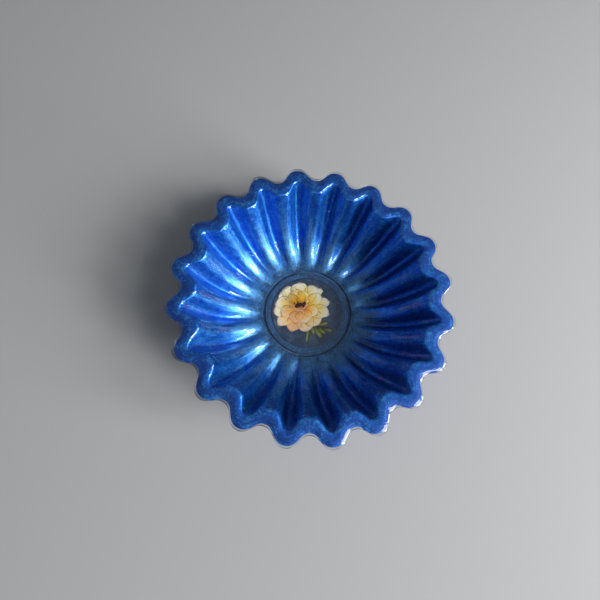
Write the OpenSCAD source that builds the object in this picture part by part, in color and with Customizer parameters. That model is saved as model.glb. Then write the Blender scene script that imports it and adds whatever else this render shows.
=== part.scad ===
// Fluted art glass bowl, decorated from behind.
// One pressed piece of clear glass makes the fluted wall, the crowned lip, the flat floor and
// the ring foot. Two paper cut-outs lie face up against the underside of the floor, a slate
// ground closes them in, and metallic blue lacquer backs the floor, the wall and the lip.
// The origin is on the table under the centre, with a scallop's crest on +X.

/* [Bowl] */
// Diameter over the crests of the scallops
bowl_d = 250; // [230:5:300]
// Height from the table to the top of the lip
bowl_h = 70; // [62:1:90]
// Number of flutes, a multiple of four so that a crest lies on each axis
flutes = 20; // [16:4:24]
// Depth of the scallops round the outer edge
scallop_depth = 11; // [6:0.2:13]
// Depth of the flutes at the top of the wall
flute_depth = 12.2; // [6:0.1:14]
// How much narrower the outward creases are than the inward ridges
crease_pinch = 0.12; // [0:0.02:0.2]
// How much the scallops are rounded out, from a plain wave towards a square one
scallop_fullness = 0.06; // [0:0.01:0.08]
// Thickness of the pressed glass
glass_t = 3.5; // [3:0.5:4]

/* [Lip] */
// Width of the lip with its roll, over a crest
lip_w = 15.8; // [13:0.2:18]
// Slope of the wall where it meets the roll, in degrees
wall_angle = 70; // [62:1:72]
// Radius of the roll between the wall and the lip
roll_r = 4.5; // [4.5:0.5:6]
// Upward slope of the lip beside the roll, in degrees
lip_rise_angle = 10; // [4:1:14]
// Downward slope of the lip beside its outer edge, in degrees
lip_fall_angle = 16; // [4:1:20]

/* [Base] */
// Diameter of the flat floor, where the flutes begin
floor_d = 93; // [84:1:100]
// Gap between the floor's edge and the outside of the foot
foot_inset = 0.5; // [0.5:0.5:3]
// Width of the foot ring
foot_w = 3.5; // [3:0.5:5]
// Height of the floor's underside above the table
foot_h = 3; // [2.5:0.5:4]
// Bevel on both edges of the foot
foot_bevel = 0.8; // [0.4:0.1:1]

/* [Lacquer and paper] */
// Thickness of the lacquer
lacquer_t = 0.35; // [0.2:0.05:0.5]
// Thickness of the paper cut-outs
paper_t = 0.15; // [0.1:0.05:0.2]
// Thickness of the slate ground
ground_t = 0.2; // [0.1:0.1:0.3]
// Diameter of the slate ground
ground_d = 74.4; // [70:0.2:78]

/* [Flower] */
// Middle of the bloom along X
bloom_x = -4.5; // [-5:0.5:4]
// Middle of the bloom along Y
bloom_y = 6; // [-4:0.5:6]
// Longest distance across the bloom
bloom_length = 62; // [40:1:62]
// Shortest distance across the bloom
bloom_breadth = 54; // [36:1:54]
// Turn of the bloom's long axis, in degrees
bloom_turn = 12; // [0:1:30]
// Number of petals in the outer ring
outer_petals = 11; // [8:1:13]
// Width of an outer petal
petal_w = 15.5; // [12:0.5:18]

/* [Hidden] */

// Facets: steps across one flute, up the wall and round the roll
flute_steps = 10;
wall_steps = 6;
roll_steps = 3;
round_fn = 96;

// How fast the flutes deepen from the floor upwards
flute_growth = 0.95;

// --- The profile ------------------------------------------------------------------------
// It follows a crease, which is the bottom of a flute as seen from inside the bowl.

floor_r = floor_d / 2;
floor_z = foot_h + glass_t;
throat_r = bowl_d / 2 - lip_w;

// The outer edge is a half round about this radius
edge_r = bowl_d / 2 - glass_t / 2;
lip_end_r = edge_r + glass_t / 2 * sin(lip_fall_angle);

// The crown of the lip is one arc, which is level at the bowl's full height
roll_end_r = throat_r + roll_r * (sin(wall_angle) - sin(lip_rise_angle));
crown_r = (lip_end_r - roll_end_r) / (sin(lip_rise_angle) + sin(lip_fall_angle));
crown_mid_r = roll_end_r + crown_r * sin(lip_rise_angle);
roll_end_z = bowl_h - crown_r * (1 - cos(lip_rise_angle));
throat_z = roll_end_z - roll_r * (cos(lip_rise_angle) - cos(wall_angle));

// The wall is a power curve that leaves the floor level and meets the roll at wall_angle
wall_run = throat_r - floor_r;
wall_rise = throat_z - floor_z;
wall_power = tan(wall_angle) * wall_run / wall_rise;

// A ring is [crease radius, crease height, radial move to the ridge, upward move, pinch,
// fullness]
function wall_ring(t) =
    let (depth = flute_depth * pow(t, flute_growth), lean = 90 * t)
    [floor_r + wall_run * t, floor_z + wall_rise * pow(t, wall_power),
     -depth * sin(lean), depth * cos(lean), crease_pinch, scallop_fullness * t];

// The flutes turn into the scallops across the lip
function lip_ring(r, z) =
    let (share = (r - throat_r) / (edge_r - throat_r))
    [r, z, -flute_depth - (scallop_depth - flute_depth) * share, 0,
     crease_pinch * (1 - share), scallop_fullness];

function roll_ring(slope) =
    lip_ring(throat_r + roll_r * (sin(wall_angle) - sin(slope)),
             throat_z + roll_r * (cos(slope) - cos(wall_angle)));

function crown_ring(slope) =
    lip_ring(crown_mid_r - crown_r * sin(slope), bowl_h - crown_r * (1 - cos(slope)));

inside_rings = [
    for (i = [0:wall_steps]) wall_ring(i / wall_steps),
    for (i = [1:roll_steps])
        roll_ring(wall_angle + (lip_rise_angle - wall_angle) * i / roll_steps),
    for (slope = [0, -lip_fall_angle]) crown_ring(slope)
];
last_ring = len(inside_rings) - 1;

// The profile halfway between crease and ridge gives the direction of the thickness
function midline(i) = [for (k = [0, 1]) inside_rings[i][k] + inside_rings[i][k + 2] / 2];
function profile_run(i) =
    i == 0 ? [1, 0] :
    i == last_ring ? [cos(lip_fall_angle), -sin(lip_fall_angle)] :
    midline(i + 1) - midline(i - 1);

// The same ring moved out through the glass by a distance
function offset_ring(i, distance) =
    let (ring = inside_rings[i], run = profile_run(i), step = distance / norm(run))
    [ring[0] + step * run[1], ring[1] - step * run[0], ring[2], ring[3], ring[4], ring[5]];

outside_rings = [for (i = [0:last_ring]) offset_ring(i, glass_t)];
lacquer_rings = [for (i = [0:last_ring]) offset_ring(i, glass_t + lacquer_t)];

// The half-round outer edge, through its widest point
edge_z = inside_rings[last_ring][1] - glass_t / 2 * cos(lip_fall_angle);
edge_rings = [
    for (a = [(90 - lip_fall_angle) / 2, 0, -(90 + lip_fall_angle) / 2])
        [edge_r + glass_t / 2 * cos(a), edge_z + glass_t / 2 * sin(a), -scallop_depth, 0, 0,
         scallop_fullness]
];

// --- Skins over rings -------------------------------------------------------------------

around = flutes * flute_steps;

// 0 on a crease, 1 on a ridge
function flute_wave(angle, pinch, fullness) =
    let (swing = (cos(angle) - fullness * cos(3 * angle)) / (1 - fullness))
    (1 - swing - pinch * (cos(2 * angle) - 1)) / 2;

function ring_points(ring) = [
    for (j = [0:around - 1])
        let (a = 360 * j / around, w = flute_wave(flutes * a, ring[4], ring[5]))
        let (r = ring[0] + ring[2] * w)
        [r * cos(a), r * sin(a), ring[1] + ring[3] * w]
];

function backwards(list) = [for (i = [len(list) - 1:-1:0]) list[i]];

// A skin over rings that run from the inside over the edge to the outside. A loop of rings
// closes on itself. An open row of rings ends in two flat round faces.
module ring_skin(rings, loop) {
    count = len(rings);
    bands = loop ? count : count - 1;
    points = [for (ring = rings) each ring_points(ring)];
    sides = [
        for (i = [0:bands - 1], j = [0:around - 1])
            let (k = (j + 1) % around, low = i * around, high = ((i + 1) % count) * around)
            each [[low + j, high + k, high + j], [low + j, low + k, high + k]]
    ];
    ends = loop ? [] : [
        [for (j = [around - 1:-1:0]) j],
        [for (j = [0:around - 1]) (count - 1) * around + j]
    ];
    polyhedron(points, concat(sides, ends), convexity = 12);
}

// --- The glass --------------------------------------------------------------------------

foot_r = floor_r - foot_inset;
foot_bore_r = foot_r - foot_w;
// How far the foot reaches up into the floor
foot_root = 1;

module foot_ring() {
    rotate_extrude($fn = round_fn)
        polygon([
            [foot_bore_r, foot_h + foot_root],
            [foot_bore_r, foot_bevel],
            [foot_bore_r + foot_bevel, 0],
            [foot_r - foot_bevel, 0],
            [foot_r, foot_bevel],
            [foot_r, foot_h + foot_root]
        ]);
}

module glass_bowl() {
    color("lightblue", 0.4)
        union() {
            ring_skin(concat(inside_rings, edge_rings, backwards(outside_rings)), false);
            foot_ring();
        }
}

// --- The lacquer ------------------------------------------------------------------------

// Heights of the layers under the floor, each named for its underside
flower_z = foot_h - paper_t;
leaf_z = flower_z - paper_t;
ground_z = leaf_z - ground_t;
base_z = ground_z - lacquer_t;

// Clearance between the base lacquer and the foot's bore
brush_gap = 0.2;

module wall_lacquer() {
    color("mediumblue")
        ring_skin(concat(outside_rings, backwards(lacquer_rings)), true);
}

module base_lacquer() {
    rim_r = foot_bore_r - brush_gap;
    color("midnightblue")
        rotate_extrude($fn = round_fn)
            polygon([
                [0, base_z],
                [rim_r, base_z],
                [rim_r, foot_h],
                [ground_d / 2, foot_h],
                [ground_d / 2, ground_z],
                [0, ground_z]
            ]);
}

// --- The paper and its ground -------------------------------------------------------------

module slate_ground() {
    color("darkslategray")
        translate([0, 0, ground_z])
            cylinder(d = ground_d, h = ground_t, $fn = round_fn);
}

leaf_side_points = 8;
petal_side_points = 10;

// One side of a petal or leaf is this share of its half width, from 0 at its root to 1 at its tip
function blade_share(u) = pow(sin(180 * pow(u, 0.8)), 0.7);

module blade(length, width, points) {
    side = [for (i = [0:points]) [length * i / points, width / 2 * blade_share(i / points)]];
    polygon([each side, for (i = [points - 1:-1:1]) [side[i][0], -side[i][1]]]);
}

// Distance from the bloom's middle to its oval outline, in a direction
function bloom_reach(angle) =
    1 / norm([cos(angle) / (bloom_length / 2), sin(angle) / (bloom_breadth / 2)]);

// Every second outer petal is a little shorter, and the inner ones fill the gaps
short_petal = 0.92;
inner_petal = 0.8;

module petal_ring(share, start) {
    for (i = [0:outer_petals - 1]) {
        angle = 360 * (i + start) / outer_petals;
        shorter = i % 2 == 0 ? 1 : short_petal;
        rotate(angle) blade(bloom_reach(angle) * share * shorter, petal_w, petal_side_points);
    }
}

module flower_print() {
    color("khaki")
        translate([bloom_x, bloom_y, flower_z])
            linear_extrude(paper_t)
                rotate(bloom_turn)
                    union() {
                        petal_ring(1, 0);
                        petal_ring(inner_petal, 0.5);
                    }
}

// The sprig's stem runs from under the bloom. Each leaf is [distance of its root along the
// stem, direction in degrees, length, width].
stem_start = [1, -7];
stem_angle = -37;
stem_length = 20;
stem_w = 2;
leaves = [
    [5, -105, 24, 4],
    [8, -88, 13, 5],
    [10, -68, 16, 6.5],
    [12, 5, 14, 4.5],
    [14, -50, 11, 4.5],
    [19, -18, 12, 4]
];

module leaf_print() {
    color("olivedrab")
        translate([stem_start[0], stem_start[1], leaf_z])
            union() {
                rotate(stem_angle)
                    translate([0, -stem_w / 2, 0])
                        cube([stem_length, stem_w, paper_t]);
                for (leaf = leaves)
                    translate(leaf[0] * [cos(stem_angle), sin(stem_angle), 0])
                        rotate(leaf[1])
                            linear_extrude(paper_t)
                                blade(leaf[2], leaf[3], leaf_side_points);
            }
}

glass_bowl();
wall_lacquer();
base_lacquer();
slate_ground();
leaf_print();
flower_print();
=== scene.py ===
import math

import bpy
import numpy as np
from bpy.props import FloatProperty, FloatVectorProperty, IntProperty, PointerProperty
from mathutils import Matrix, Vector


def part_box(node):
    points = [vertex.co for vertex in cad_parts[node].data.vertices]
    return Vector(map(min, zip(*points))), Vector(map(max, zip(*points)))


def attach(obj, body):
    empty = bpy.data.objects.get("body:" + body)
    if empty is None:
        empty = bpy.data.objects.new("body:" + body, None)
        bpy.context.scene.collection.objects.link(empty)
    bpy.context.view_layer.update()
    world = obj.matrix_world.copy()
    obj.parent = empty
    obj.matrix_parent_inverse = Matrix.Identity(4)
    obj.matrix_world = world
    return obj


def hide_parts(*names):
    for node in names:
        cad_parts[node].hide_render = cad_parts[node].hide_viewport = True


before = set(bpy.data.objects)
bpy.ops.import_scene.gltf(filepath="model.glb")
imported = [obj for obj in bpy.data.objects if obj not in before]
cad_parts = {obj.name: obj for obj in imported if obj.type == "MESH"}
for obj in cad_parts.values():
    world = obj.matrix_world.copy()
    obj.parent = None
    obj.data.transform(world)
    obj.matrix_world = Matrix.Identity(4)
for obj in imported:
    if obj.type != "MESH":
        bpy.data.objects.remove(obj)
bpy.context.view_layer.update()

bl_info = {
    "name": "Fluted Art Glass Bowl",
    "version": (1, 0, 0),
    "blender": (4, 5, 0),
    "location": "3D View > Sidebar > Glass Bowl",
    "description": "Builds a fluted glass bowl that is lacquered and decorated from behind",
    "category": "Object",
}

MM = 0.001
BODY = "root"
SEED = 20


def linear(code):
    """An sRGB hex colour as linear red, green, blue and full alpha."""
    parts = [int(code[k : k + 2], 16) / 255 for k in (1, 3, 5)]
    return tuple(
        c / 12.92 if c <= 0.04045 else ((c + 0.055) / 1.055) ** 2.4 for c in parts
    ) + (1.0,)


# ---------------------------------------------------------------------------------------
# Sizes and colours that a user would change
# ---------------------------------------------------------------------------------------


def glass_size(axis):
    low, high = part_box("glass_bowl")
    return high[axis] - low[axis]


def length(name, description, default_mm):
    return FloatProperty(
        name=name,
        description=description,
        default=default_mm * MM,
        min=0.0,
        unit="LENGTH",
        subtype="DISTANCE",
        precision=4,
    )


def angle(name, description, default_degrees):
    return FloatProperty(
        name=name,
        description=description,
        default=math.radians(default_degrees),
        unit="ROTATION",
        subtype="ANGLE",
    )


def colour(name, description, code):
    return FloatVectorProperty(
        name=name,
        description=description,
        default=linear(code),
        size=4,
        min=0.0,
        max=1.0,
        subtype="COLOR",
    )


class BowlGlassSettings(bpy.types.PropertyGroup):
    """Sizes of the pressed glass"""

    diameter: length("Diameter", "Across the scallops' crests", glass_size(0) / MM)
    height: length("Height", "From the table to the top of the lip", glass_size(2) / MM)
    flutes: IntProperty(
        name="Flutes", description="Number of flutes in the wall", default=20, min=4
    )
    scallop_depth: length("Scallop Depth", "Depth of the scallops round the edge", 11.0)
    flute_depth: length("Flute Depth", "Depth of the flutes at the wall's top", 12.2)
    crease_pinch: FloatProperty(
        name="Crease Pinch",
        description="How much narrower the creases are than the ridges",
        default=0.12,
        subtype="FACTOR",
    )
    fullness: FloatProperty(
        name="Scallop Fullness",
        description="How much the scallops are rounded out, towards a square wave",
        default=0.06,
        subtype="FACTOR",
    )
    glass_t: length("Glass Thickness", "Thickness of the pressed glass", 3.5)
    lip_w: length("Lip Width", "Width of the lip with its roll, over a crest", 15.8)
    wall_angle: angle("Wall Slope", "Slope of the wall where it meets the roll", 70)
    roll_r: length("Roll Radius", "Radius of the roll between wall and lip", 4.5)
    lip_rise: angle("Lip Rise", "Upward slope of the lip beside the roll", 10)
    lip_fall: angle("Lip Fall", "Downward slope of the lip beside its outer edge", 16)
    floor_d: length("Floor Diameter", "Diameter of the flat floor", 93.0)
    foot_inset: length("Foot Inset", "Gap between the floor's edge and the foot", 0.5)
    foot_w: length("Foot Width", "Width of the foot ring", 3.5)
    foot_h: length("Foot Height", "Height of the floor's underside", 3.0)
    foot_bevel: length("Foot Bevel", "Rounding on both edges of the foot", 0.8)
    tint: colour("Glass Tint", "Colour of the clear glass", "#f2f8fb")


class BowlLacquerSettings(bpy.types.PropertyGroup):
    """Sizes and colours of the metallic lacquer"""

    lacquer_t: length("Lacquer Thickness", "Thickness of the brushed lacquer", 0.35)
    bond: length("Bond", "How far the lacquer is drawn inside the glass it wets", 0.3)
    deep: colour("Deep Blue", "Lacquer between the flakes", "#0444b4")
    middle: colour("Middle Blue", "Most of the lacquer", "#0c6ac8")
    light: colour("Light Blue", "Lacquer where the flakes lie thick", "#479fd8")
    # Lip Blue is painted shade: a darker blue for the lip's flat top, whose lacquer is the same as the
    # wall's
    lip: colour("Lip Blue", "Thin lacquer behind the lip", "#053a88")
    slate: colour("Slate Blue", "Slate brushed out round the base", "#60a8e8")
    slate_dark: colour("Dark Slate", "Thick slate under the floor", "#37597f")
    back: colour("Back Blue", "Dried brushed back of the lacquer", "#1c4f9c")


class BowlPrintSettings(bpy.types.PropertyGroup):
    """Sizes and colours of the paper cut-outs and their ground"""

    ground_d: length("Ground Diameter", "Diameter of the slate ground", 74.4)
    ground_t: length("Ground Thickness", "Thickness of the slate ground", 0.2)
    paper_t: length("Paper Thickness", "Thickness of the paper cut-outs", 0.15)
    bloom_x: length("Bloom X", "Middle of the bloom along X", -4.5)
    bloom_y: length("Bloom Y", "Middle of the bloom along Y", 6.0)
    bloom_length: length("Bloom Length", "Longest distance across the bloom", 62.0)
    bloom_breadth: length("Bloom Breadth", "Shortest distance across it", 54.0)
    bloom_turn: angle("Bloom Turn", "Turn of the bloom's long axis", 12)
    ground: colour("Slate Ground", "Ground behind the flower", "#2e3f59")
    ground_light: colour("Ground Bloom", "Cloudy patches in the ground", "#52637e")
    cream: colour("Cream", "Tips of the petals", "#fff8dc")
    straw: colour("Straw", "Middle of the petals", "#fbe08a")
    gold: colour("Gold", "Heart of the bloom", "#fcbf10")
    amber: colour("Amber", "Roots of the petals", "#d2740f")
    peach: colour("Peach", "Backs of the petals", "#f7b07a")
    blush: colour("Blush", "Veins on the petals' backs", "#f7d3b4")
    umber: colour("Umber", "Shading and outline of the petals", "#7a4413")
    outline: colour("Outline", "Stamens, and the outline of the leaves", "#2c1a0c")
    olive: colour("Olive", "Leaves", "#a3a65a")
    olive_dark: colour("Dark Olive", "Shaded parts of leaves and stem", "#252d14")


class BowlStageSettings(bpy.types.PropertyGroup):
    """The floor, the lights and the camera"""

    floor: colour("Floor", "Plain pale floor", "#c4c4c4")
    window_power: FloatProperty(
        name="Window Power", description="Power of each window", default=20.0, unit="POWER"
    )
    fill_power: FloatProperty(
        name="Fill Power", description="Power of the fill light", default=22.0, unit="POWER"
    )


# ---------------------------------------------------------------------------------------
# Making nodes and materials
# ---------------------------------------------------------------------------------------


def add_node(tree, kind, sockets=None, stops=None, **settings):
    """Adds a node, sets its properties, and sets its inputs or links them.
    A node given as an input stands for the first of its outputs that is in use."""
    made = tree.nodes.new(kind)
    for key, value in settings.items():
        setattr(made, key, value)
    for key, value in (sockets or {}).items():
        if isinstance(value, bpy.types.Node):
            value = next(output for output in value.outputs if output.enabled)
        if isinstance(value, bpy.types.NodeSocket):
            tree.links.new(value, made.inputs[key])
        else:
            made.inputs[key].default_value = value
    for k, (place, shade) in enumerate(stops or []):
        ramp = made.color_ramp.elements
        step = ramp[k] if k < len(ramp) else ramp.new(place)
        step.position, step.color = place, shade
    return made


def new_material(name):
    """An empty material and its node tree."""
    made = bpy.data.materials.new(name)
    made.use_nodes = True
    made.node_tree.nodes.clear()
    return made, made.node_tree


def kept_vector(tree, label):
    """A vector that the mesh keeps for each point, whole and as its three values."""
    whole = add_node(tree, "ShaderNodeAttribute", attribute_name=label).outputs["Vector"]
    return whole, *add_node(tree, "ShaderNodeSeparateXYZ", {0: whole}).outputs


def streaks(tree, vector, scale, detail, roughness):
    """Noise that is drawn out, as each part of the vector has its own scale."""
    scaled = add_node(tree, "ShaderNodeMapping", {"Vector": vector, "Scale": scale})
    noise = {"Vector": scaled, "Scale": 1.0, "Detail": detail, "Roughness": roughness}
    return add_node(tree, "ShaderNodeTexNoise", noise)


def add_surface(tree, look, height=None, strength=0.0, depth=0.0):
    """Ends a material in one surface, which a height embosses if there is one."""
    if height is not None:
        relief = {"Height": height, "Strength": strength, "Distance": depth}
        look = {**look, "Normal": add_node(tree, "ShaderNodeBump", relief)}
    surface = add_node(tree, "ShaderNodeBsdfPrincipled", look)
    add_node(tree, "ShaderNodeOutputMaterial", {"Surface": surface})


def pressed_glass(settings):
    """Soda-lime glass, pressed in an iron mould and fire polished.
    It gives clear depth and bright, slightly wavy highlights."""
    made, tree = new_material("Pressed clear glass")
    place = add_node(tree, "ShaderNodeTexCoord").outputs["Object"]
    # The mould leaves waves some 14 mm across, and fire polishing leaves finer ones
    waves = add_node(
        tree,
        "ShaderNodeTexNoise",
        {"Vector": place, "Scale": 1 / (14 * MM), "Detail": 2.0, "Roughness": 0.45},
    )
    bump = add_node(tree, "ShaderNodeBump", {"Height": waves, "Strength": 0.25, "Distance": 0.6 * MM})
    glass = add_node(
        tree,
        "ShaderNodeBsdfPrincipled",
        {
            "Base Color": settings.tint,
            "Roughness": 0.02,
            "IOR": 1.52,
            "Transmission Weight": 1.0,
            "Normal": bump,
        },
    )
    # Lamps shine straight through, so the lacquer behind the glass is lit
    path = add_node(tree, "ShaderNodeLightPath")
    clear = add_node(tree, "ShaderNodeBsdfTransparent", {"Color": settings.tint})
    both = add_node(tree, "ShaderNodeMixShader", {0: path.outputs["Is Shadow Ray"], 1: glass, 2: clear})
    add_node(tree, "ShaderNodeOutputMaterial", {"Surface": both})
    return made


def lacquer_front(settings):
    """Metallic lacquer with aluminium flake, brushed on the back of glass.
    It gives a deep blue that flares where the flakes face the light."""
    made, tree = new_material("Metallic blue lacquer")
    sweep, *_ = kept_vector(tree, "sweep")
    _, lip, ridge, climb = kept_vector(tree, "zone")
    place = add_node(tree, "ShaderNodeTexCoord").outputs["Object"]
    # Brush marks run up the wall, some 2 mm apart and 35 mm long
    up_marks = streaks(tree, sweep, (36, 36, 1 / (35 * MM)), 3.0, 0.6)
    # On the lip they run round it, some 1.6 mm apart and 25 mm long
    lip_marks = streaks(tree, sweep, (5, 5, 1 / (1.6 * MM)), 3.0, 0.6)
    marks = add_node(tree, "ShaderNodeMix", {0: lip, 2: up_marks, 3: lip_marks})
    # Flake lies in clouds some 6 mm across, and the sponge-like grain is 1.6 mm across
    clouds = add_node(
        tree,
        "ShaderNodeTexNoise",
        {"Vector": place, "Scale": 1 / (6 * MM), "Detail": 3.0, "Roughness": 0.6},
    )
    grain = add_node(
        tree,
        "ShaderNodeTexNoise",
        {"Vector": place, "Scale": 1 / (1.6 * MM), "Detail": 2.0, "Roughness": 0.7},
    )
    dabs = add_node(tree, "ShaderNodeMix", {0: 0.6, 2: clouds, 3: grain})
    coat = add_node(tree, "ShaderNodeMix", {0: 0.3, 2: dabs, 3: marks})
    # Noise keeps to the middle of its range, so it is stretched before it picks a blue
    spread = add_node(tree, "ShaderNodeMapRange", {"Value": coat, "From Min": 0.38, "From Max": 0.62})
    blues = add_node(
        tree,
        "ShaderNodeValToRGB",
        {"Fac": spread},
        stops=[(0.0, settings.deep), (0.5, settings.middle), (1.0, settings.light)],
    )
    # Round the base the slate is brushed out over the blue, in streaks that end raggedly
    brushed = add_node(
        tree, "ShaderNodeMath", {0: climb, 1: -0.8, 2: up_marks}, operation="MULTIPLY_ADD"
    )
    # The streaks reach further along the ridge tops
    ridge_reach = add_node(
        tree, "ShaderNodeMapRange", {"Value": ridge, "From Min": 0.82, "From Max": 1.0, "To Max": 0.32}
    )
    reach = add_node(tree, "ShaderNodeMath", {0: brushed, 1: ridge_reach}, operation="ADD")
    slate = add_node(tree, "ShaderNodeMapRange", {"Value": reach, "From Min": 0.1, "From Max": 0.4})
    patches = add_node(tree, "ShaderNodeMapRange", {"Value": dabs, "From Min": 0.38, "From Max": 0.62})
    # It is darker under the floor and at the foot of the wall, and lighter up the wall
    upward_lightening = add_node(
        tree,
        "ShaderNodeMapRange",
        {"Value": climb, "From Min": -0.1, "From Max": 0.14, "To Min": -0.5, "To Max": 0.3},
    )
    pale = add_node(tree, "ShaderNodeMath", {0: patches, 1: upward_lightening}, operation="ADD", use_clamp=True)
    slate_colour = add_node(
        tree, "ShaderNodeMix", {0: pale, 6: settings.slate_dark, 7: settings.slate}, data_type="RGBA"
    )
    # The lip is painted a darker, duller blue, as painted shade on its flat top, though its lacquer is
    # the same as the wall's, except in dabs where flake gathered
    lip_shade_share = add_node(
        tree,
        "ShaderNodeMapRange",
        {"Value": spread, "From Min": 0.35, "From Max": 0.9, "To Min": 1.0, "To Max": 0.35},
    )
    painted_lip_shade = add_node(tree, "ShaderNodeMath", {0: lip, 1: lip_shade_share}, operation="MULTIPLY")
    blue_coat = add_node(tree, "ShaderNodeMix", {0: painted_lip_shade, 6: blues, 7: settings.lip}, data_type="RGBA")
    body = add_node(tree, "ShaderNodeMix", {0: slate, 6: blue_coat, 7: slate_colour}, data_type="RGBA")
    # The slate has less flake in it, and so has the lip, where the brush left it rougher
    plain = add_node(tree, "ShaderNodeMath", {0: slate, 1: lip}, operation="MAXIMUM")
    flaked = add_node(tree, "ShaderNodeMapRange", {"Value": plain, "To Min": 0.88, "To Max": 0.8})
    # Under the floor it is plain slate, with much less flake
    under = add_node(tree, "ShaderNodeMapRange", {"Value": climb, "From Min": 0.06, "From Max": -0.1})
    metal = add_node(tree, "ShaderNodeMath", {0: under, 1: -0.5, 2: flaked}, operation="MULTIPLY_ADD")
    gloss = add_node(
        tree,
        "ShaderNodeMapRange",
        {"Value": dabs, "From Min": 0.38, "From Max": 0.62, "To Min": 0.28, "To Max": 0.46},
    )
    rough = add_node(tree, "ShaderNodeMath", {0: lip, 1: 0.28, 2: gloss}, operation="MULTIPLY_ADD")
    look = {
        "Base Color": body,
        "Metallic": metal,
        "Roughness": rough,
        "Coat Weight": 0.4,
        "Coat Roughness": 0.3,
    }
    add_surface(tree, look, coat, 1.0, 0.5 * MM)
    return made


def lacquer_back(settings):
    """The dried back of the same lacquer, as the brush left it.
    It gives a satin blue with raised brush marks."""
    made, tree = new_material("Brushed lacquer back")
    sweep, *_ = kept_vector(tree, "sweep")
    *_, climb = kept_vector(tree, "zone")
    place = add_node(tree, "ShaderNodeTexCoord").outputs["Object"]
    # Bristle marks are some 1.5 mm apart and 30 mm long
    stroke = add_node(tree, "ShaderNodeMapping", {"Vector": sweep, "Scale": (55, 55, 1 / (30 * MM))})
    # Across the underside of the floor the strokes run straight
    straight = add_node(
        tree, "ShaderNodeMapping", {"Vector": place, "Scale": (1 / (30 * MM), 1 / (1.5 * MM), 0)}
    )
    under = add_node(tree, "ShaderNodeMath", {0: climb, 1: -0.1}, operation="LESS_THAN")
    strokes = add_node(tree, "ShaderNodeMix", {0: under, 4: stroke, 5: straight}, data_type="VECTOR")
    marks = add_node(
        tree, "ShaderNodeTexNoise", {"Vector": strokes, "Scale": 1.0, "Detail": 4.0, "Roughness": 0.65}
    )
    clouds = add_node(
        tree,
        "ShaderNodeTexNoise",
        {"Vector": place, "Scale": 1 / (9 * MM), "Detail": 3.0, "Roughness": 0.6},
    )
    mix = add_node(tree, "ShaderNodeMath", {0: marks, 1: clouds}, operation="ADD")
    spread = add_node(tree, "ShaderNodeMapRange", {"Value": mix, "From Min": 0.75, "From Max": 1.25})
    blues = add_node(
        tree,
        "ShaderNodeValToRGB",
        {"Fac": spread},
        stops=[(0.0, settings.deep), (0.55, settings.back), (1.0, settings.middle)],
    )
    look = {"Base Color": blues, "Metallic": 0.6, "Roughness": 0.48}
    add_surface(tree, look, marks, 0.7, 0.4 * MM)
    return made


def slate_paint(settings):
    """Slate-blue acrylic paint, dabbed on behind the print.
    It gives a dark, cloudy ground."""
    made, tree = new_material("Dabbed slate paint")
    place = add_node(tree, "ShaderNodeTexCoord").outputs["Object"]
    # Dabs of a sponge leave clouds some 8 mm across
    dabs = add_node(
        tree,
        "ShaderNodeTexNoise",
        {"Vector": place, "Scale": 1 / (8 * MM), "Detail": 5.0, "Roughness": 0.6},
    )
    shade = add_node(
        tree,
        "ShaderNodeValToRGB",
        {"Fac": dabs},
        stops=[(0.42, settings.ground), (0.72, settings.ground_light)],
    )
    add_surface(tree, {"Base Color": shade, "Roughness": 0.5}, dabs, 0.3, 0.2 * MM)
    return made


def outlined(tree, drawing, ink, across, along, start, full):
    """The drawing of a blade, with an ink line along its sides and tip."""
    side = add_node(tree, "ShaderNodeMath", {0: across}, operation="ABSOLUTE")
    edge = add_node(tree, "ShaderNodeMath", {0: side, 1: along}, operation="MAXIMUM")
    line = {"Value": edge, "From Min": start, "From Max": full, "To Max": 0.85}
    share = add_node(tree, "ShaderNodeMapRange", line)
    return add_node(tree, "ShaderNodeMix", {0: share, 6: drawing, 7: ink}, data_type="RGBA")


def leaf_paper(settings):
    """Thin paper, printed with leaves and glued face up behind the glass.
    It gives olive leaves, dark at the root and on one half, with a drawn outline."""
    made, tree = new_material("Printed leaf paper")
    blade, across, along, _ = kept_vector(tree, "blade")
    # Veins run along each leaf, eight across its width
    veining = streaks(tree, blade, (4.0, 0.7, 37.0), 3.0, 0.55)
    reach = add_node(tree, "ShaderNodeMath", {0: veining, 1: 0.7, 2: along}, operation="MULTIPLY_ADD")
    blend = add_node(tree, "ShaderNodeMapRange", {"Value": reach, "From Min": 0.45, "From Max": 1.1})
    wash = add_node(
        tree, "ShaderNodeMix", {0: blend, 6: settings.olive_dark, 7: settings.olive}, data_type="RGBA"
    )
    # One half of each leaf is darker, as if folded along its rib
    half = add_node(
        tree,
        "ShaderNodeMapRange",
        {"Value": across, "From Min": -0.25, "From Max": 0.25, "To Min": 0.0, "To Max": 0.75},
    )
    folded = add_node(
        tree, "ShaderNodeMix", {0: half, 6: wash, 7: settings.olive_dark}, data_type="RGBA"
    )
    inked = outlined(tree, folded, settings.outline, across, along, 0.78, 0.98)
    add_surface(tree, {"Base Color": inked, "Roughness": 0.6})
    return made


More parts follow.
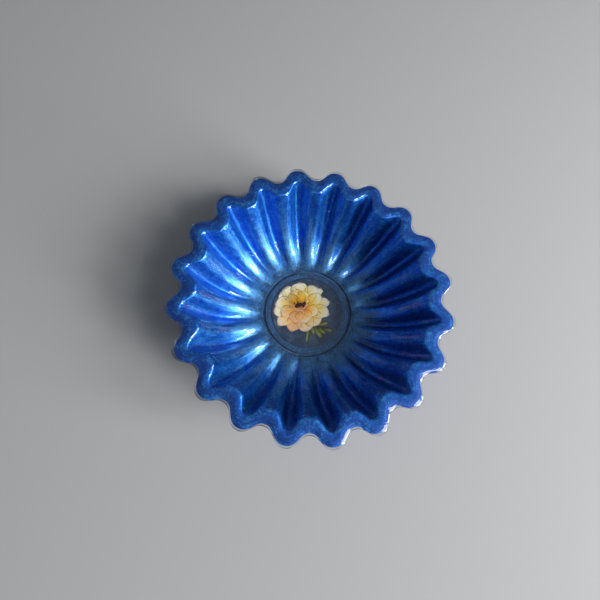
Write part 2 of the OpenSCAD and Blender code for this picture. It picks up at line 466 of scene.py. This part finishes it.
def petal_paper(settings):
    """Thin paper, printed with an open bloom and glued face up behind the glass.
    It gives painted petals: a golden heart, cream tips, and peach on their backs."""
    made, tree = new_material("Printed flower paper")
    blade, across, along, warmth = kept_vector(tree, "blade")
    _, light, facing, gilt = kept_vector(tree, "shade")
    # Veins run along each petal, about nine across its width
    veining = streaks(tree, blade, (4.5, 0.8, 37.0), 2.0, 0.5)
    reach = add_node(tree, "ShaderNodeMath", {0: veining, 1: 0.5, 2: along}, operation="MULTIPLY_ADD")
    golden = add_node(tree, "ShaderNodeMath", {0: gilt, 1: -0.34, 2: reach}, operation="MULTIPLY_ADD")
    wash = add_node(
        tree,
        "ShaderNodeValToRGB",
        {"Fac": golden},
        stops=[
            (0.3, settings.amber),
            (0.5, settings.gold),
            (0.75, settings.straw),
            (0.95, settings.cream),
        ],
    )
    washed = add_node(tree, "ShaderNodeMix", {0: warmth, 6: wash, 7: settings.peach}, data_type="RGBA")
    behind = add_node(
        tree, "ShaderNodeMapRange", {"Value": facing, "From Min": 0.25, "From Max": -0.15}
    )
    backs = add_node(
        tree, "ShaderNodeMix", {0: veining, 6: settings.peach, 7: settings.blush}, data_type="RGBA"
    )
    sides = add_node(tree, "ShaderNodeMix", {0: behind, 6: washed, 7: backs}, data_type="RGBA")
    # The drawing is darker where a petal turns away from the light
    dim = add_node(
        tree,
        "ShaderNodeMapRange",
        {"Value": light, "From Min": 0.3, "From Max": 0.8, "To Min": 0.4, "To Max": 0.0},
    )
    modelled = add_node(tree, "ShaderNodeMix", {0: dim, 6: sides, 7: settings.umber}, data_type="RGBA")
    # A thin line is drawn round each petal
    inked = outlined(tree, modelled, settings.umber, across, along, 0.9, 1.0)
    # Stamens carry 2 in the third value
    stamen = add_node(tree, "ShaderNodeMath", {0: gilt, 1: 1.5}, operation="GREATER_THAN")
    heart = add_node(
        tree, "ShaderNodeMix", {0: stamen, 6: inked, 7: settings.outline}, data_type="RGBA"
    )
    add_surface(tree, {"Base Color": heart, "Roughness": 0.6})
    return made


# ---------------------------------------------------------------------------------------
# The profile, as in the part's source. A ring is [crease radius, crease height,
# radial move to the ridge, upward move, pinch, fullness], in metres.
# ---------------------------------------------------------------------------------------

AROUND_FLUTE = 24
WALL_STEPS = 30
ROLL_STEPS = 8
CROWN_STEPS = 8
EDGE_STEPS = 10
BEVEL_STEPS = 5
# A power just under 1, so the flutes deepen almost evenly as the wall runs outward
FLUTE_GROWTH = 0.95


class Profile:
    """The bowl's rings and the sizes that follow from them."""

    def __init__(self, s):
        self.s = s
        self.count = s.flutes * AROUND_FLUTE
        self.floor_r = s.floor_d / 2
        self.floor_z = s.foot_h + s.glass_t
        self.throat_r = s.diameter / 2 - s.lip_w
        self.edge_r = s.diameter / 2 - s.glass_t / 2
        rise, fall, steep = s.lip_rise, s.lip_fall, s.wall_angle
        lip_end_r = self.edge_r + s.glass_t / 2 * math.sin(fall)
        roll_end_r = self.throat_r + s.roll_r * (math.sin(steep) - math.sin(rise))
        self.crown_r = (lip_end_r - roll_end_r) / (math.sin(rise) + math.sin(fall))
        self.crown_mid_r = roll_end_r + self.crown_r * math.sin(rise)
        roll_end_z = s.height - self.crown_r * (1 - math.cos(rise))
        self.throat_z = roll_end_z - s.roll_r * (math.cos(rise) - math.cos(steep))
        self.run = self.throat_r - self.floor_r
        self.rise = self.throat_z - self.floor_z
        self.power = math.tan(steep) * self.run / self.rise
        wall = [self.wall_ring(i / WALL_STEPS) for i in range(WALL_STEPS + 1)]
        roll = [
            self.roll_ring(steep + (rise - steep) * i / ROLL_STEPS)
            for i in range(1, ROLL_STEPS + 1)
        ]
        crown = [
            self.crown_ring(rise - (rise + fall) * i / CROWN_STEPS)
            for i in range(1, CROWN_STEPS + 1)
        ]
        self.inside = np.array(wall + roll + crown)
        middle = self.inside[:, :2] + self.inside[:, 2:4] / 2
        way = np.gradient(middle, axis=0)
        way[0] = (1, 0)
        way[-1] = (math.cos(fall), -math.sin(fall))
        self.way = way / np.linalg.norm(way, axis=1)[:, None]
        steps = np.linalg.norm(np.diff(middle, axis=0), axis=1)
        self.path = self.floor_r + np.concatenate([[0], np.cumsum(steps)])
        lip = (self.inside[:, 0] - self.throat_r) / (2 * s.roll_r)
        self.lip = np.clip(lip, 0, 1)
        self.climb = np.clip((self.inside[:, 0] - self.floor_r) / self.run, 0, 1)

    def wall_ring(self, t):
        s = self.s
        depth, lean = s.flute_depth * t**FLUTE_GROWTH, math.pi / 2 * t
        return [
            self.floor_r + self.run * t,
            self.floor_z + self.rise * t**self.power,
            -depth * math.sin(lean),
            depth * math.cos(lean),
            s.crease_pinch,
            s.fullness * t,
        ]

    def lip_ring(self, r, z):
        s = self.s
        share = (r - self.throat_r) / (self.edge_r - self.throat_r)
        depth = s.flute_depth + (s.scallop_depth - s.flute_depth) * share
        return [r, z, -depth, 0, s.crease_pinch * (1 - share), s.fullness]

    def roll_ring(self, slope):
        s = self.s
        return self.lip_ring(
            self.throat_r + s.roll_r * (math.sin(s.wall_angle) - math.sin(slope)),
            self.throat_z + s.roll_r * (math.cos(slope) - math.cos(s.wall_angle)),
        )

    def crown_ring(self, slope):
        return self.lip_ring(
            self.crown_mid_r - self.crown_r * math.sin(slope),
            self.s.height - self.crown_r * (1 - math.cos(slope)),
        )

    def offset(self, distance):
        """The inside rings moved out through the glass, square to the profile."""
        rings = self.inside.copy()
        rings[:, 0] += distance * self.way[:, 1]
        rings[:, 1] -= distance * self.way[:, 0]
        return rings

    def edge(self):
        """The half-round outer edge."""
        s = self.s
        half, z = s.glass_t / 2, self.inside[-1][1] - s.glass_t / 2 * math.cos(s.lip_fall)
        top, bottom = math.pi / 2 - s.lip_fall, -math.pi / 2 - s.lip_fall
        turns = np.linspace(top, bottom, EDGE_STEPS + 1)[1:-1]
        section = [(self.edge_r + half * math.cos(a), z + half * math.sin(a)) for a in turns]
        return np.array([[*point, -s.scallop_depth, 0, 0, s.fullness] for point in section])

    def points(self, rings):
        """Points of the rings, ring by ring, with the flutes in them."""
        turn = 2 * math.pi * np.arange(self.count) / self.count
        wave = self.s.flutes * turn
        r, z, dr, dz, pinch, full = (rings[:, k, None] for k in range(6))
        swing = (np.cos(wave) - full * np.cos(3 * wave)) / (1 - full)
        share = (1 - swing - pinch * (np.cos(2 * wave) - 1)) / 2
        radius = r + dr * share
        out = np.stack(
            [radius * np.cos(turn), radius * np.sin(turn), z + dz * share], axis=-1
        )
        return out, turn, share


def flat_ring(r, z):
    """A ring with no flutes."""
    return [r, z, 0, 0, 0, 0]


def hold(mesh, label, values):
    """Keeps a vector for each point in the mesh, which the materials read."""
    held = mesh.attributes.new(label, "FLOAT_VECTOR", "POINT")
    held.data.foreach_set("vector", values.reshape(-1).astype(np.float32))


def ring_mesh(name, profile, rings, path, lip, climb, loop=False):
    """A smooth skin over rings. An open row of rings is closed by flat ends."""
    points, turn, share = profile.points(rings)
    rows, count = points.shape[:2]
    index = np.arange(rows * count).reshape(rows, count)
    below = index if loop else index[:-1]
    above = np.roll(index, -1, axis=0) if loop else index[1:]
    quads = np.stack(
        [below, above, np.roll(above, -1, axis=1), np.roll(below, -1, axis=1)], axis=-1
    )
    faces = [tuple(map(int, q)) for q in quads.reshape(-1, 4)]
    if not loop:
        faces.append(tuple(int(i) for i in index[0]))
        faces.append(tuple(int(i) for i in index[-1][::-1]))
    mesh = bpy.data.meshes.new(name)
    mesh.from_pydata(points.reshape(-1, 3).tolist(), [], faces)
    sweep = np.zeros((rows, count, 3))
    sweep[..., 0], sweep[..., 1] = np.cos(turn), np.sin(turn)
    sweep[..., 2] = np.asarray(path)[:, None]
    zone = np.zeros((rows, count, 3))
    zone[..., 0] = np.asarray(lip)[:, None]
    zone[..., 1] = share
    zone[..., 2] = np.asarray(climb)[:, None]
    hold(mesh, "sweep", sweep)
    hold(mesh, "zone", zone)
    mesh.validate()
    mesh.shade_smooth()
    return mesh


def place_piece(name, mesh, materials, node_name):
    """Links a finished piece, which rides on the bowl and stands for its CAD node."""
    piece = bpy.data.objects.new(name, mesh)
    bpy.context.scene.collection.objects.link(piece)
    for made in materials:
        mesh.materials.append(made)
    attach(piece, BODY)
    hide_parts(node_name)
    return piece


def foot_outline(s):
    """The foot's outer and inner radius, and the rounding down its outside and up its
    bore, as radius and height."""
    outer = s.floor_d / 2 - s.foot_inset
    inner = outer - s.foot_w
    bevel = s.foot_bevel
    turns = np.linspace(0, math.pi / 2, BEVEL_STEPS + 1)
    down = [(outer - bevel + bevel * math.cos(a), bevel - bevel * math.sin(a)) for a in turns]
    up = [(inner + bevel - bevel * math.sin(a), bevel - bevel * math.cos(a)) for a in turns]
    return outer, inner, down, up


def split_sides(mesh, front_faces):
    """The first faces show the lacquer's front, and the rest its dried back."""
    side = np.ones(len(mesh.polygons), dtype=np.int32)
    side[:front_faces] = 0
    mesh.polygons.foreach_set("material_index", side)
    mesh.update()


# ---------------------------------------------------------------------------------------
# The pieces
# ---------------------------------------------------------------------------------------

# Corners sharper than this stay crisp
SHARP_CORNER = math.radians(50)
# A disc's innermost ring, which a small flat face closes
DISC_MIDDLE = 0.5 * MM


class BOWL_OT_pressed_glass(bpy.types.Operator):
    """Build the pressed glass: wall, lip, floor and foot in one piece"""

    bl_idname = "bowl.pressed_glass"
    bl_label = "Pressed Glass"

    def execute(self, context):
        s = context.scene.bowl_glass
        profile = Profile(s)
        outer, inner, down, up = foot_outline(s)
        outside = profile.offset(s.glass_t)[::-1]
        foot = [flat_ring(outer, s.foot_h)]
        foot += [flat_ring(r, z) for r, z in down + up]
        foot += [flat_ring(inner, s.foot_h)]
        rings = np.concatenate([profile.inside, profile.edge(), outside, np.array(foot)])
        zeros = np.zeros(len(rings))
        mesh = ring_mesh("Pressed_glass", profile, rings, zeros, zeros, zeros)
        mesh.set_sharp_from_angle(angle=SHARP_CORNER)
        place_piece("Pressed_glass", mesh, [pressed_glass(s)], "glass_bowl")
        return {"FINISHED"}


# The lacquer laps the foot's flat by this much from both sides, and wears off between
LAP = 0.7 * MM
# The lapping film is drawn this far inside the glass
LAP_FILM = 0.1 * MM
# The brush marks run on over the foot for this long
SKIRT_RUN = 8 * MM
# The climb is 0 at the floor's edge and 1 at the roll, and this on the base lacquer,
# which the materials tell apart by it
BASE_CLIMB = -0.15
# The base coat's rounded corner, and the rings across its underside
BASE_CORNER = 0.5 * MM
BASE_RINGS = 12
GROUND_RINGS = 24


class BOWL_OT_wall_lacquer(bpy.types.Operator):
    """Build the metallic lacquer behind the wall and the lip"""

    bl_idname = "bowl.wall_lacquer"
    bl_label = "Wall Lacquer"

    def execute(self, context):
        s, coat = context.scene.bowl_glass, context.scene.bowl_lacquer
        profile = Profile(s)
        outer, _, down, _ = foot_outline(s)
        front = profile.offset(s.glass_t - coat.bond)
        back = profile.offset(s.glass_t + coat.lacquer_t)
        # The brush laps down the outside of the foot
        lap = (down[-1][0] - LAP, down[-1][1])
        skirt = [lap, *down[::-1]]
        skirt_front = [flat_ring(r - LAP_FILM, z + LAP_FILM) for r, z in skirt]
        skirt_front += [flat_ring(outer - LAP_FILM, s.foot_h + coat.bond)]
        skirt_back = [flat_ring(r, z + LAP_FILM / 5) for r, z in skirt]
        skirt_back += [flat_ring(outer + LAP_FILM, s.foot_h - coat.lacquer_t)]
        rings = np.concatenate(
            [np.array(skirt_front), front, back[::-1], np.array(skirt_back)[::-1]]
        )
        low = np.linspace(-SKIRT_RUN, 0, len(skirt_front)) + profile.floor_r
        zeros = np.zeros(len(skirt_front))
        path = np.concatenate([low, profile.path, profile.path[::-1], low[::-1]])
        lip = np.concatenate([zeros, profile.lip, profile.lip[::-1], zeros])
        climb = np.concatenate([zeros, profile.climb, profile.climb[::-1], zeros])
        mesh = ring_mesh("Wall_lacquer", profile, rings, path, lip, climb, loop=True)
        mesh.set_sharp_from_angle(angle=SHARP_CORNER)
        coats = [lacquer_front(coat), lacquer_back(coat)]
        place_piece("Wall_lacquer", mesh, coats, "wall_lacquer")
        # The front faces are those up to the last ring of the front
        split_sides(mesh, (len(skirt_front) + len(front) - 1) * profile.count)
        return {"FINISHED"}


class BOWL_OT_base_lacquer(bpy.types.Operator):
    """Build the lacquer that seals the underside of the floor"""

    bl_idname = "bowl.base_lacquer"
    bl_label = "Base Lacquer"

    def execute(self, context):
        s, coat = context.scene.bowl_glass, context.scene.bowl_lacquer
        prints = context.scene.bowl_print
        profile = Profile(s)
        _, inner, _, up = foot_outline(s)
        ground_r = prints.ground_d / 2
        ground_z = s.foot_h - 2 * prints.paper_t - prints.ground_t
        base_z = ground_z - coat.lacquer_t
        skirt = [(up[0][0] + LAP, up[0][1]), *up]
        top = s.foot_h + LAP_FILM / 2
        outline = [(DISC_MIDDLE, ground_z), (ground_r, ground_z), (ground_r, top)]
        outline += [(inner + LAP_FILM, top)]
        outline += [(r + LAP_FILM, z + LAP_FILM) for r, z in skirt[::-1]]
        outline += [(r, z + LAP_FILM / 5) for r, z in skirt]
        outline += [(inner - LAP_FILM, base_z + BASE_CORNER)]
        outline += [(inner - 3 * LAP_FILM, base_z + BASE_CORNER / 5)]
        radii = np.linspace(inner - 2 * coat.lacquer_t, DISC_MIDDLE, BASE_RINGS)
        outline += [(r, base_z) for r in radii]
        rings = np.array([flat_ring(r, z) for r, z in outline])
        steps = np.linalg.norm(np.diff(rings[:, :2], axis=0), axis=1)
        path = np.concatenate([[0], np.cumsum(steps)])
        zeros = np.zeros(len(rings))
        mesh = ring_mesh("Base_lacquer", profile, rings, path, zeros, zeros + BASE_CLIMB)
        mesh.set_sharp_from_angle(angle=SHARP_CORNER)
        coats = [lacquer_front(coat), lacquer_back(coat)]
        place_piece("Base_lacquer", mesh, coats, "base_lacquer")
        # The front faces are those up to the skirt's last ring against the glass
        split_sides(mesh, (3 + len(skirt)) * profile.count)
        return {"FINISHED"}


class BOWL_OT_slate_ground(bpy.types.Operator):
    """Build the slate ground behind the flower"""

    bl_idname = "bowl.slate_ground"
    bl_label = "Slate Ground"

    def execute(self, context):
        s, prints = context.scene.bowl_glass, context.scene.bowl_print
        profile = Profile(s)
        top = s.foot_h + LAP_FILM / 4
        low = s.foot_h - 2 * prints.paper_t - prints.ground_t
        rim = prints.ground_d / 2
        outline = [(r, top) for r in np.linspace(DISC_MIDDLE, rim, GROUND_RINGS)]
        outline += [(rim, low)]
        rings = np.array([flat_ring(r, z) for r, z in outline])
        zeros = np.zeros(len(rings))
        mesh = ring_mesh("Slate_ground", profile, rings, zeros, zeros, zeros)
        place_piece("Slate_ground", mesh, [slate_paint(prints)], "slate_ground")
        return {"FINISHED"}


# ---------------------------------------------------------------------------------------
# The printed paper
# ---------------------------------------------------------------------------------------


def sheets_mesh(name, labels, sheets, press=None):
    """One mesh of thin sheets. A sheet is a grid of points, then a grid of vectors for
    each label. What is given as press may move the points."""
    faces, start = [], 0
    for grid, *_ in sheets:
        rows, columns = grid.shape[:2]
        index = start + np.arange(rows * columns).reshape(rows, columns)
        quads = np.stack(
            [index[:-1, :-1], index[1:, :-1], index[1:, 1:], index[:-1, 1:]], axis=-1
        )
        faces += [tuple(map(int, q)) for q in quads.reshape(-1, 4)]
        start += rows * columns
    points, *held = (
        np.concatenate([grid.reshape(-1, 3) for grid in grids]) for grids in zip(*sheets)
    )
    mesh = bpy.data.meshes.new(name)
    mesh.from_pydata((press(points) if press else points).tolist(), [], faces)
    for label, values in zip(labels, held):
        hold(mesh, label, values)
    return mesh


LEAF_ACROSS = 8
LEAF_ALONG = 16
# A lower first power puts a leaf's widest place nearer its root, and a lower second one
# makes it blunter
LEAF_WIDEST, LEAF_BLUNT = 0.8, 0.7
LEAF_RUFFLE = 0.05
LEAF_BEND = 0.1
# The sprig's stem runs from under the bloom, in millimetres and degrees
STEM_START, STEM_TURN = (-2.5, -7.0), -37
STEM_LENGTH, STEM_W = 22, 2.2
# Each leaf is (distance of its root along the stem, direction, length, width)
LEAVES = (
    (5, -105, 24, 5),
    (8, -88, 13, 6),
    (10, -68, 17, 8.5),
    (12, 5, 14, 6),
    (14, -50, 12, 6),
    (19, -18, 12, 5),
)
# Each leaf lies this much over the last
LEAF_STEP = 0.002 * MM


def drawn_leaf(root, turn, length, width, bend, own, random, ruffle=LEAF_RUFFLE):
    """One flat leaf: its points and its (across, along, own) values."""
    v = np.linspace(0, 1, LEAF_ALONG + 1)[:, None]
    u = np.linspace(-1, 1, LEAF_ACROSS + 1)[None, :]
    half = width / 2 * np.sin(math.pi * np.clip(v, 0, 0.999) ** LEAF_WIDEST) ** LEAF_BLUNT
    waves = 1 - ruffle * (1 + np.sin(v * random.uniform(9, 15) + random.uniform(0, 6)))
    x = length * v + 0 * u
    y = half * waves * u + bend * width * np.sin(math.pi * v) * 0.5
    c, s = math.cos(turn), math.sin(turn)
    points = np.stack([x * c - y * s, x * s + y * c, 0 * x], axis=-1) + np.array(root)
    return points, np.stack([u + 0 * v, v + 0 * u, np.full(x.shape, own)], axis=-1)


class BOWL_OT_leaf_print(bpy.types.Operator):
    """Build the printed sprig of leaves"""

    bl_idname = "bowl.leaf_print"
    bl_label = "Leaf Print"

    def execute(self, context):
        s, prints = context.scene.bowl_glass, context.scene.bowl_print
        random = np.random.default_rng(SEED + 1)
        z = s.foot_h + LAP_FILM / 2
        start, turn = np.array(STEM_START) * MM, math.radians(STEM_TURN)
        way = np.array([math.cos(turn), math.sin(turn)])
        stem = (STEM_LENGTH * MM, STEM_W * MM)
        sheets = [drawn_leaf((*start, z), turn, *stem, 0, 0.2, random, ruffle=0.0)]
        for k, (along, lean, size, width) in enumerate(LEAVES):
            root = (*(start + along * MM * way), z + LEAF_STEP * (k + 1))
            shape = (math.radians(lean), size * MM, width * MM, LEAF_BEND)
            sheets.append(drawn_leaf(root, *shape, k / 5, random))
        mesh = sheets_mesh("Leaf_print", ["blade"], sheets)
        mesh.shade_smooth()
        place_piece("Leaf_print", mesh, [leaf_paper(prints)], "leaf_print")
        return {"FINISHED"}


PETAL_ACROSS = 12
PETAL_ALONG = 18
# The bloom is drawn as seen from this far off its axis
BLOOM_LEAN = math.radians(50)
# Rings of petals: count, first direction, length, width, rise at the root and at the
# tip, cupping, and how far out the gold reaches. Lengths and widths are shares of half
# the bloom's length, and angles are in degrees.
PETAL_RINGS = (
    (10, 12, 1.0, 0.58, 6, -8, 0.1, 0.45),
    (9, 32, 0.86, 0.54, 26, 6, 0.2, 0.45),
    (8, 64, 0.6, 0.48, 58, 36, 0.26, 1.0),
)
# A petal's outline starts this far along it. A higher first power puts its widest place
# nearer the tip, and a lower second one makes it blunter.
PETAL_START, PETAL_WIDEST, PETAL_BLUNT = 0.04, 1.5, 0.6
# Shares of a petal's width, and of its length, by which it ruffles, leans and ends
PETAL_RUFFLE, PETAL_SKEW, TIP_ROUND, TIP_RAGGED = 0.05, 0.12, 0.03, 0.04
# Petals on the near side hang lower by up to this angle, in degrees
PETAL_DROP = 5
# The painter's lamp is at the upper left
PRINT_LAMP = np.array([-0.45, 0.1, 0.89])
# Stamens: how many, their spread to the sides and upward, how far they stand off the
# middle, and the sizes of their heads, as shares of half the bloom's length
STAMENS = 46
STAMEN_SPREAD = (0.13, 0.05)
STAMEN_PLACE = (0, -0.03, 0.27)
STAMEN_SIZES = (0.014, 0.026)


def drawn_petal(turn, reach, width, root_rise, tip_rise, cup, random):
    """One petal in the round: its points and its (across, along, random) values."""
    v = np.linspace(0, 1, PETAL_ALONG + 1)
    u = np.linspace(-1, 1, PETAL_ACROSS + 1)[None, :]
    rise = np.radians(root_rise + (tip_rise - root_rise) * v)
    step = reach / PETAL_ALONG
    out = np.concatenate([[0], np.cumsum(np.cos(rise[:-1]) * step)])[:, None]
    up = np.concatenate([[0], np.cumsum(np.sin(rise[:-1]) * step)])[:, None]
    v, rise = v[:, None], rise[:, None]
    grown = np.clip(PETAL_START + (1 - PETAL_START) * v, 0, 1)
    half = width / 2 * np.sin(math.pi * grown**PETAL_WIDEST) ** PETAL_BLUNT
    ruffle = PETAL_RUFFLE * width * np.sin(random.uniform(9, 14) * v + random.uniform(0, 6))
    lift = cup * width * (half / width * 2) * u**2 + ruffle * np.abs(u) ** 3 * v
    side = half * u
    skew = random.uniform(-PETAL_SKEW, PETAL_SKEW) * reach * v**2
    # The tip is rounded and a little ragged
    ragged = np.abs(np.sin(5 * u + random.uniform(0, 3)))
    tip = TIP_ROUND * (1 - np.abs(u)) - TIP_RAGGED * ragged
    x = out - lift * np.sin(rise) + reach * tip * v**6
    y = side + skew
    z = up + lift * np.cos(rise)
    c, s = math.cos(turn), math.sin(turn)
    points = np.stack([x * c - y * s, x * s + y * c, z], axis=-1)
    values = np.stack([u + 0 * v, v + 0 * u, np.full(side.shape, random.random())], axis=-1)
    return points, values


def petal_light(points):
    """How a painter would light a petal from the upper left, and which side shows."""
    along = np.gradient(points, axis=0)
    across = np.gradient(points, axis=1)
    normal = np.cross(along, across)
    normal /= np.maximum(np.linalg.norm(normal, axis=-1, keepdims=True), 1e-12)
    facing = normal @ np.array([0, -math.sin(BLOOM_LEAN), math.cos(BLOOM_LEAN)])
    return np.abs(normal @ PRINT_LAMP), facing


def pressed(points, prints, low):
    """The points seen from off the bloom's axis, squeezed into the paper's depth."""
    c, s = math.cos(BLOOM_LEAN), math.sin(BLOOM_LEAN)
    flat = np.stack([points[:, 0], points[:, 1] * c + points[:, 2] * s], axis=-1)
    depth = points[:, 2] * c - points[:, 1] * s
    size = flat.max(0) - flat.min(0)
    flat -= (flat.max(0) + flat.min(0)) / 2
    flat *= np.array([prints.bloom_length, prints.bloom_breadth]) / size
    c, s = math.cos(prints.bloom_turn), math.sin(prints.bloom_turn)
    flat = flat @ np.array([[c, s], [-s, c]]) + np.array([prints.bloom_x, prints.bloom_y])
    depth = (depth - depth.min()) / (depth.max() - depth.min())
    return np.column_stack([flat, low + depth * prints.paper_t])


class BOWL_OT_flower_print(bpy.types.Operator):
    """Build the printed flower: an open bloom, drawn in the round and pressed flat"""

    bl_idname = "bowl.flower_print"
    bl_label = "Flower Print"

    def execute(self, context):
        s, prints = context.scene.bowl_glass, context.scene.bowl_print
        random = np.random.default_rng(SEED)
        unit = prints.bloom_length / 2
        sheets = []
        for count, first, reach, width, root_rise, tip_rise, cup, heart in PETAL_RINGS:
            for k in range(count):
                turn = math.radians(first + 360 * k / count + random.uniform(-7, 7))
                size = reach * unit * random.uniform(0.88, 1.0) * (1 + 0.2 * math.sin(turn))
                wide = width * unit * random.uniform(0.9, 1.1)
                drop = PETAL_DROP * max(0.0, -math.sin(turn))
                points, values = drawn_petal(
                    turn, size, wide, root_rise - drop, tip_rise - 2 * drop, cup, random
                )
                light, facing = petal_light(points)
                # Near petals are washed with peach
                values[..., 2] = max(0.0, -math.sin(turn + 0.5)) * random.uniform(0.4, 0.9)
                shade = np.stack([light, facing, 0 * light + heart], axis=-1)
                sheets.append((points, values, shade))
        for _ in range(STAMENS):
            # A stamen is a small flat head on the end of a thread that isn't drawn
            x, y = (random.normal(STAMEN_PLACE[k], STAMEN_SPREAD[k]) for k in (0, 1))
            place = np.array([x, y, STAMEN_PLACE[2]]) * unit
            turn, size = random.uniform(0, math.pi), random.uniform(*STAMEN_SIZES) * unit
            u, v = np.meshgrid(np.linspace(-1, 1, 3), np.linspace(-1, 1, 3))
            c, sn = math.cos(turn) * size, math.sin(turn) * size
            flat = np.stack([u * c * 2 - v * sn, u * sn * 2 + v * c, 0 * u], axis=-1)
            values = np.stack([0 * u, 0 * u + 0.5, 0 * u + random.random()], axis=-1)
            shade = np.stack([0 * u + 1, 0 * u + 1, 0 * u + 2], axis=-1)
            sheets.append((flat + place, values, shade))
        low = s.foot_h + 0.6 * LAP_FILM
        mesh = sheets_mesh(
            "Flower_print",
            ["blade", "shade"],
            sheets,
            press=lambda points: pressed(points, prints, low),
        )
        mesh.shade_flat()
        place_piece("Flower_print", mesh, [petal_paper(prints)], "flower_print")
        return {"FINISHED"}


# ---------------------------------------------------------------------------------------
# The stage
# ---------------------------------------------------------------------------------------

LAMP_DISTANCE = 2.2
LAMP_TARGET = Vector((0, 0, 0.04))
# Each lamp's azimuth and elevation in degrees, and its width and height
WINDOWS = ((-42, 20), (-17, 28))
WINDOW_SIZE = (0.36, 0.9)
# The low pane puts dashes of light on the outer ridges, at this share of a window's power
LOW_PANE, LOW_PANE_SIZE, LOW_PANE_SHARE = (-28, 9), (0.18, 0.3), 0.2
FILL, FILL_SIZE = (-38, 41), (0.7, 1.0)
SKY, SKY_STRENGTH = "#dfe6ee", 0.15
FLOOR_HALF = 2.5
SENSOR_MM, LENS_MM = 36.0, 21.177
# The camera looks down into the bowl from the front left. Its turn is in degrees.
CAMERA_PLACE = (-0.04124, -0.08509, 0.35526)
CAMERA_TURN = (16.226, -3.782, -6.955)


def add_lamp(name, direction, size, power):
    """A soft rectangular lamp that faces the bowl and isn't seen itself."""
    lamp = bpy.data.lights.new(name, "AREA")
    lamp.shape = "RECTANGLE"
    lamp.size, lamp.size_y = size
    lamp.energy = power
    held = bpy.data.objects.new(name, lamp)
    bpy.context.scene.collection.objects.link(held)
    a, e = (math.radians(turn) for turn in direction)
    out = Vector((math.cos(a) * math.cos(e), math.sin(a) * math.cos(e), math.sin(e)))
    held.location = LAMP_TARGET + out * LAMP_DISTANCE
    held.rotation_euler = out.to_track_quat("Z", "Y").to_euler()
    held.visible_camera = False


class BOWL_OT_stage(bpy.types.Operator):
    """Set the floor, the lights and the camera"""

    bl_idname = "bowl.stage"
    bl_label = "Stage"

    def execute(self, context):
        scene, stage = context.scene, context.scene.bowl_stage
        mesh = bpy.data.meshes.new("Floor")
        corners = [(-1, -1), (1, -1), (1, 1), (-1, 1)]
        mesh.from_pydata([(x * FLOOR_HALF, y * FLOOR_HALF, 0) for x, y in corners], [], [(0, 1, 2, 3)])
        made, tree = new_material("Matt pale board")
        place = add_node(tree, "ShaderNodeTexCoord").outputs["Object"]
        fibre = add_node(
            tree, "ShaderNodeTexNoise", {"Vector": place, "Scale": 1 / (3 * MM), "Detail": 3.0}
        )
        look = {"Base Color": stage.floor, "Roughness": 0.9}
        add_surface(tree, look, fibre, 0.05, 0.2 * MM)
        mesh.materials.append(made)
        floor = bpy.data.objects.new("Floor", mesh)
        scene.collection.objects.link(floor)

        for k, direction in enumerate(WINDOWS):
            add_lamp(f"Window_{k}", direction, WINDOW_SIZE, stage.window_power)
        add_lamp("Low_pane", LOW_PANE, LOW_PANE_SIZE, stage.window_power * LOW_PANE_SHARE)
        add_lamp("Fill", FILL, FILL_SIZE, stage.fill_power)

        world = scene.world or bpy.data.worlds.new("World")
        scene.world = world
        world.use_nodes = True
        world.node_tree.nodes.clear()
        sky = add_node(
            world.node_tree, "ShaderNodeBackground", {"Color": linear(SKY), "Strength": SKY_STRENGTH}
        )
        add_node(world.node_tree, "ShaderNodeOutputWorld", {"Surface": sky})
        scene.view_settings.view_transform = "Standard"

        lens = bpy.data.cameras.new("Camera")
        lens.sensor_width, lens.lens = SENSOR_MM, LENS_MM
        camera = bpy.data.objects.new("Camera", lens)
        scene.collection.objects.link(camera)
        camera.location = CAMERA_PLACE
        camera.rotation_euler = [math.radians(turn) for turn in CAMERA_TURN]
        scene.camera = camera
        return {"FINISHED"}


class BOWL_PT_panel(bpy.types.Panel):
    """The steps that build the bowl"""

    bl_idname = "BOWL_PT_panel"
    bl_label = "Glass Bowl"
    bl_space_type = "VIEW_3D"
    bl_region_type = "UI"
    bl_category = "Glass Bowl"

    def draw(self, context):
        column = self.layout.column()
        for step in STEPS:
            column.operator(step.bl_idname)


SETTINGS = {
    "bowl_glass": BowlGlassSettings,
    "bowl_lacquer": BowlLacquerSettings,
    "bowl_print": BowlPrintSettings,
    "bowl_stage": BowlStageSettings,
}
STEPS = (
    BOWL_OT_pressed_glass,
    BOWL_OT_wall_lacquer,
    BOWL_OT_base_lacquer,
    BOWL_OT_slate_ground,
    BOWL_OT_leaf_print,
    BOWL_OT_flower_print,
    BOWL_OT_stage,
)


def register():
    for made in (*SETTINGS.values(), *STEPS, BOWL_PT_panel):
        bpy.utils.register_class(made)
    for name, made in SETTINGS.items():
        setattr(bpy.types.Scene, name, PointerProperty(type=made))


def unregister():
    for name in SETTINGS:
        delattr(bpy.types.Scene, name)
    for made in reversed((*SETTINGS.values(), *STEPS, BOWL_PT_panel)):
        bpy.utils.unregister_class(made)


def main():
    """Registers the add-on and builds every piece."""
    register()
    for step in STEPS:
        group, name = step.bl_idname.split(".")
        getattr(getattr(bpy.ops, group), name)()
    bpy.context.view_layer.update()


if __name__ == "__main__":
    main()
